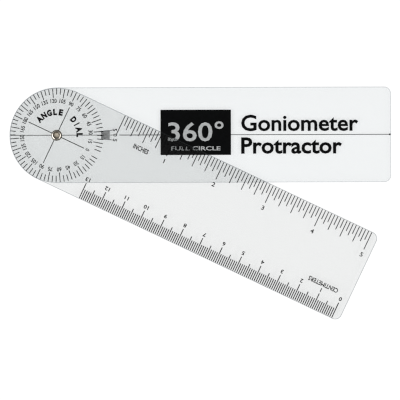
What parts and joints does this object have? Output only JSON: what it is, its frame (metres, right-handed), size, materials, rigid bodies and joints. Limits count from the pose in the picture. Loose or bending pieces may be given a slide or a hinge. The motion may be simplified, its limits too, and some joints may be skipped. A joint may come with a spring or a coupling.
{
  "type": "goniometer",
  "caption": "Flat full-circle goniometer: a clear pointer arm and a clear rule arm with a protractor head, joined by one hollow rivet they turn on.",
  "frame": {"origin": "on the pivot axis, on the flat underside of the rivet's head", "axes": "+X along the pointer arm from the pivot to its square end, +Z along the pivot axis towards the reader, from the pointer arm to the rule arm; at rest the rule arm points 25.5 degrees clockwise of +X, towards -Y"},
  "size_m": [0.1776, 0.1084, 0.0034],
  "materials": {
    "clear_sheet": "clear polished vinyl sheet, die cut with eased edges",
    "rivet_brass": "pale brass, slightly tarnished, rolled end bright",
    "black_ink": "screen-printed black ink film, satin",
    "pale_ink": "screen-printed pale grey ink film over the black panel, satin"
  },
  "bodies": {
    "pointer": {"pointer_arm": "clear_sheet", "pivot_rivet": "rivet_brass"},
    "rule": {"rule_arm": "clear_sheet"}
  },
  "joints": [
    {"name": "pivot", "type": "hinge", "parent": "pointer", "child": "rule", "pos_m": [0, 0, 0.0017], "axis": [0, 0, 1], "continuous": true}
  ]
}
